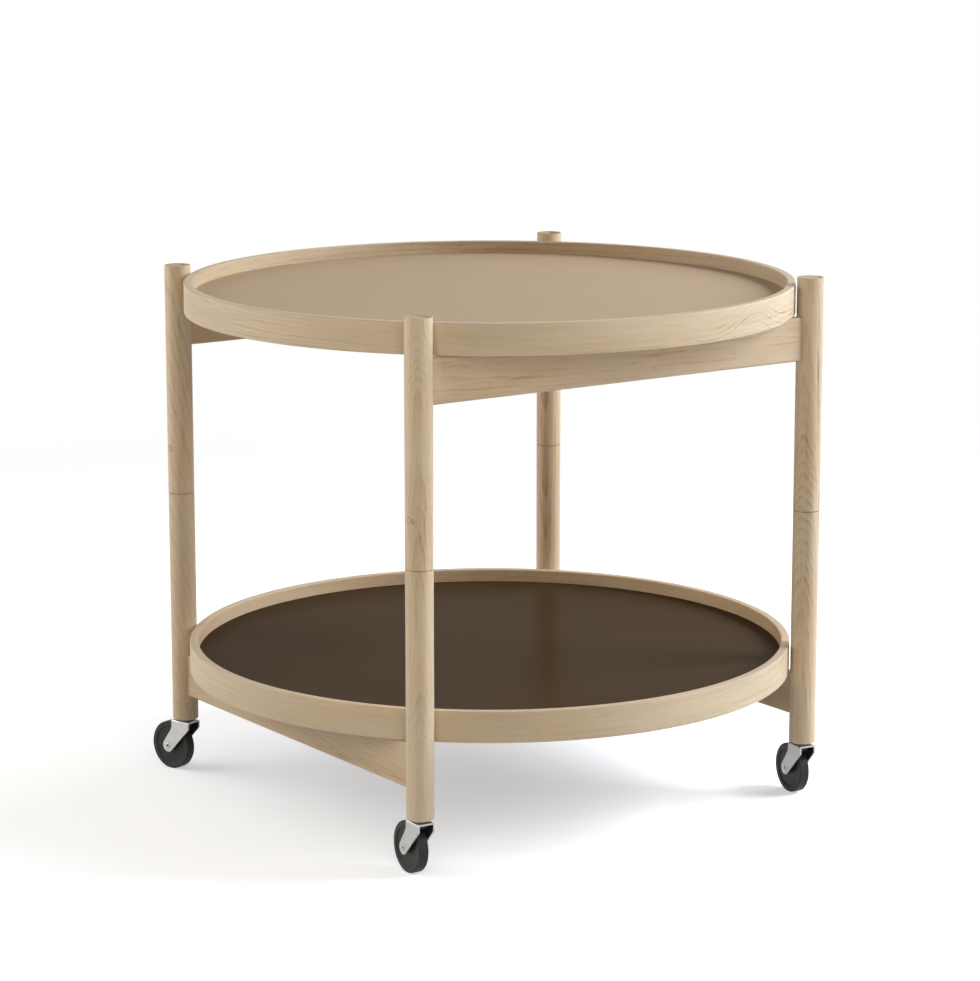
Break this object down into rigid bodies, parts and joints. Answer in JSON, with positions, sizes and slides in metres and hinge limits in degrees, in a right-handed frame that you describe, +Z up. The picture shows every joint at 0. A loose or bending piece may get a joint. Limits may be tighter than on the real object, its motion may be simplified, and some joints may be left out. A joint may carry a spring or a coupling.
{
  "type": "serving trolley",
  "caption": "Round serving trolley: turned wooden legs on swivel casters, thin side rails, and loose round trays with raised rims resting above one another on the rails.",
  "frame": {"origin": "on the floor, straight below the centre of the trays", "axes": "+Z up; +X from the left legs to the right legs, along the upper rails; +Y from the front legs to the back legs, along the lower rails; the picture looks at the front and left faces"},
  "size_m": [0.6, 0.6, 0.522],
  "materials": {
    "oak": "light natural oak, fine grain, matt oiled or soap-finished",
    "plywood": "sanded birch plywood core",
    "light_laminate": "smooth satin sheet in warm beige",
    "dark_laminate": "smooth satin sheet in dark brown",
    "zinc_plated_steel": "bright zinc plate, slightly dulled",
    "bearing_steel": "polished balls",
    "brass_insert": "turned, unpolished",
    "nylon": "natural white nylon",
    "black_plastic": "moulded black plastic, satin",
    "black_tyre": "hard black tread, satin"
  },
  "bodies": {
    "root": {"upper_rail_front": "oak", "upper_rail_back": "oak", "lower_rail_left": "oak", "lower_rail_right": "oak", "leg_upper_front_left": "oak", "leg_upper_front_right": "oak", "leg_upper_back_right": "oak", "leg_upper_back_left": "oak", "leg_lower_front_left": "oak", "leg_lower_front_right": "oak", "leg_lower_back_right": "oak", "leg_lower_back_left": "oak", "leg_joint_studs": "zinc_plated_steel", "leg_joint_inserts": "brass_insert", "caster_inserts": "brass_insert", "caster_kingpin_front_left": "zinc_plated_steel", "caster_thrust_washer_front_left": "nylon", "caster_ball_cup_front_left": "zinc_plated_steel", "caster_kingpin_front_right": "zinc_plated_steel", "caster_thrust_washer_front_right": "nylon", "caster_ball_cup_front_right": "zinc_plated_steel", "caster_kingpin_back_right": "zinc_plated_steel", "caster_thrust_washer_back_right": "nylon", "caster_ball_cup_back_right": "zinc_plated_steel", "caster_kingpin_back_left": "zinc_plated_steel", "caster_thrust_washer_back_left": "nylon", "caster_ball_cup_back_left": "zinc_plated_steel"},
    "swivel_front_left": {"caster_balls_front_left": "bearing_steel", "caster_fork_front_left": "zinc_plated_steel", "caster_axle_rivet_front_left": "zinc_plated_steel"},
    "wheel_front_left": {"caster_wheel_hub_front_left": "black_plastic", "caster_tyre_front_left": "black_tyre"},
    "swivel_front_right": {"caster_balls_front_right": "bearing_steel", "caster_fork_front_right": "zinc_plated_steel", "caster_axle_rivet_front_right": "zinc_plated_steel"},
    "wheel_front_right": {"caster_wheel_hub_front_right": "black_plastic", "caster_tyre_front_right": "black_tyre"},
    "swivel_back_right": {"caster_balls_back_right": "bearing_steel", "caster_fork_back_right": "zinc_plated_steel", "caster_axle_rivet_back_right": "zinc_plated_steel"},
    "wheel_back_right": {"caster_wheel_hub_back_right": "black_plastic", "caster_tyre_back_right": "black_tyre"},
    "swivel_back_left": {"caster_balls_back_left": "bearing_steel", "caster_fork_back_left": "zinc_plated_steel", "caster_axle_rivet_back_left": "zinc_plated_steel"},
    "wheel_back_left": {"caster_wheel_hub_back_left": "black_plastic", "caster_tyre_back_left": "black_tyre"},
    "upper_tray": {"upper_tray_rim": "oak", "upper_tray_panel_core": "plywood", "upper_tray_top_laminate": "light_laminate", "upper_tray_bottom_laminate": "light_laminate"},
    "lower_tray": {"lower_tray_rim": "oak", "lower_tray_panel_core": "plywood", "lower_tray_top_laminate": "dark_laminate", "lower_tray_bottom_laminate": "dark_laminate"}
  },
  "joints": [
    {"name": "caster_swivel_front_left", "type": "hinge", "parent": "root", "child": "swivel_front_left", "pos_m": [-0.229, -0.2155, 0.0518], "axis": [0, 0, 1], "continuous": true},
    {"name": "wheel_spin_front_left", "type": "hinge", "parent": "swivel_front_left", "child": "wheel_front_left", "pos_m": [-0.22767, -0.19775, 0.02475], "axis": [0.9972, -0.075, 0], "continuous": true},
    {"name": "caster_swivel_front_right", "type": "hinge", "parent": "root", "child": "swivel_front_right", "pos_m": [0.229, -0.2155, 0.0518], "axis": [0, 0, 1], "continuous": true},
    {"name": "wheel_spin_front_right", "type": "hinge", "parent": "swivel_front_right", "child": "wheel_front_right", "pos_m": [0.23191, -0.19794, 0.02475], "axis": [0.9866, -0.1633, 0], "continuous": true},
    {"name": "caster_swivel_back_right", "type": "hinge", "parent": "root", "child": "swivel_back_right", "pos_m": [0.229, 0.2155, 0.0518], "axis": [0, 0, 1], "continuous": true},
    {"name": "wheel_spin_back_right", "type": "hinge", "parent": "swivel_back_right", "child": "wheel_back_right", "pos_m": [0.22838, 0.23329, 0.02475], "axis": [0.9994, 0.0349, 0], "continuous": true},
    {"name": "caster_swivel_back_left", "type": "hinge", "parent": "root", "child": "swivel_back_left", "pos_m": [-0.229, 0.2155, 0.0518], "axis": [0, 0, 1], "continuous": true},
    {"name": "wheel_spin_back_left", "type": "hinge", "parent": "swivel_back_left", "child": "wheel_back_left", "pos_m": [-0.23391, 0.23261, 0.02475], "axis": [0.9613, 0.2756, 0], "continuous": true},
    {"name": "upper_tray_lift", "type": "slide", "parent": "root", "child": "upper_tray", "axis": [0, 0, 1], "range_m": [0, 0.08]},
    {"name": "lower_tray_lift", "type": "slide", "parent": "root", "child": "lower_tray", "axis": [0, 0, 1], "range_m": [0, 0.28]}
  ]
}
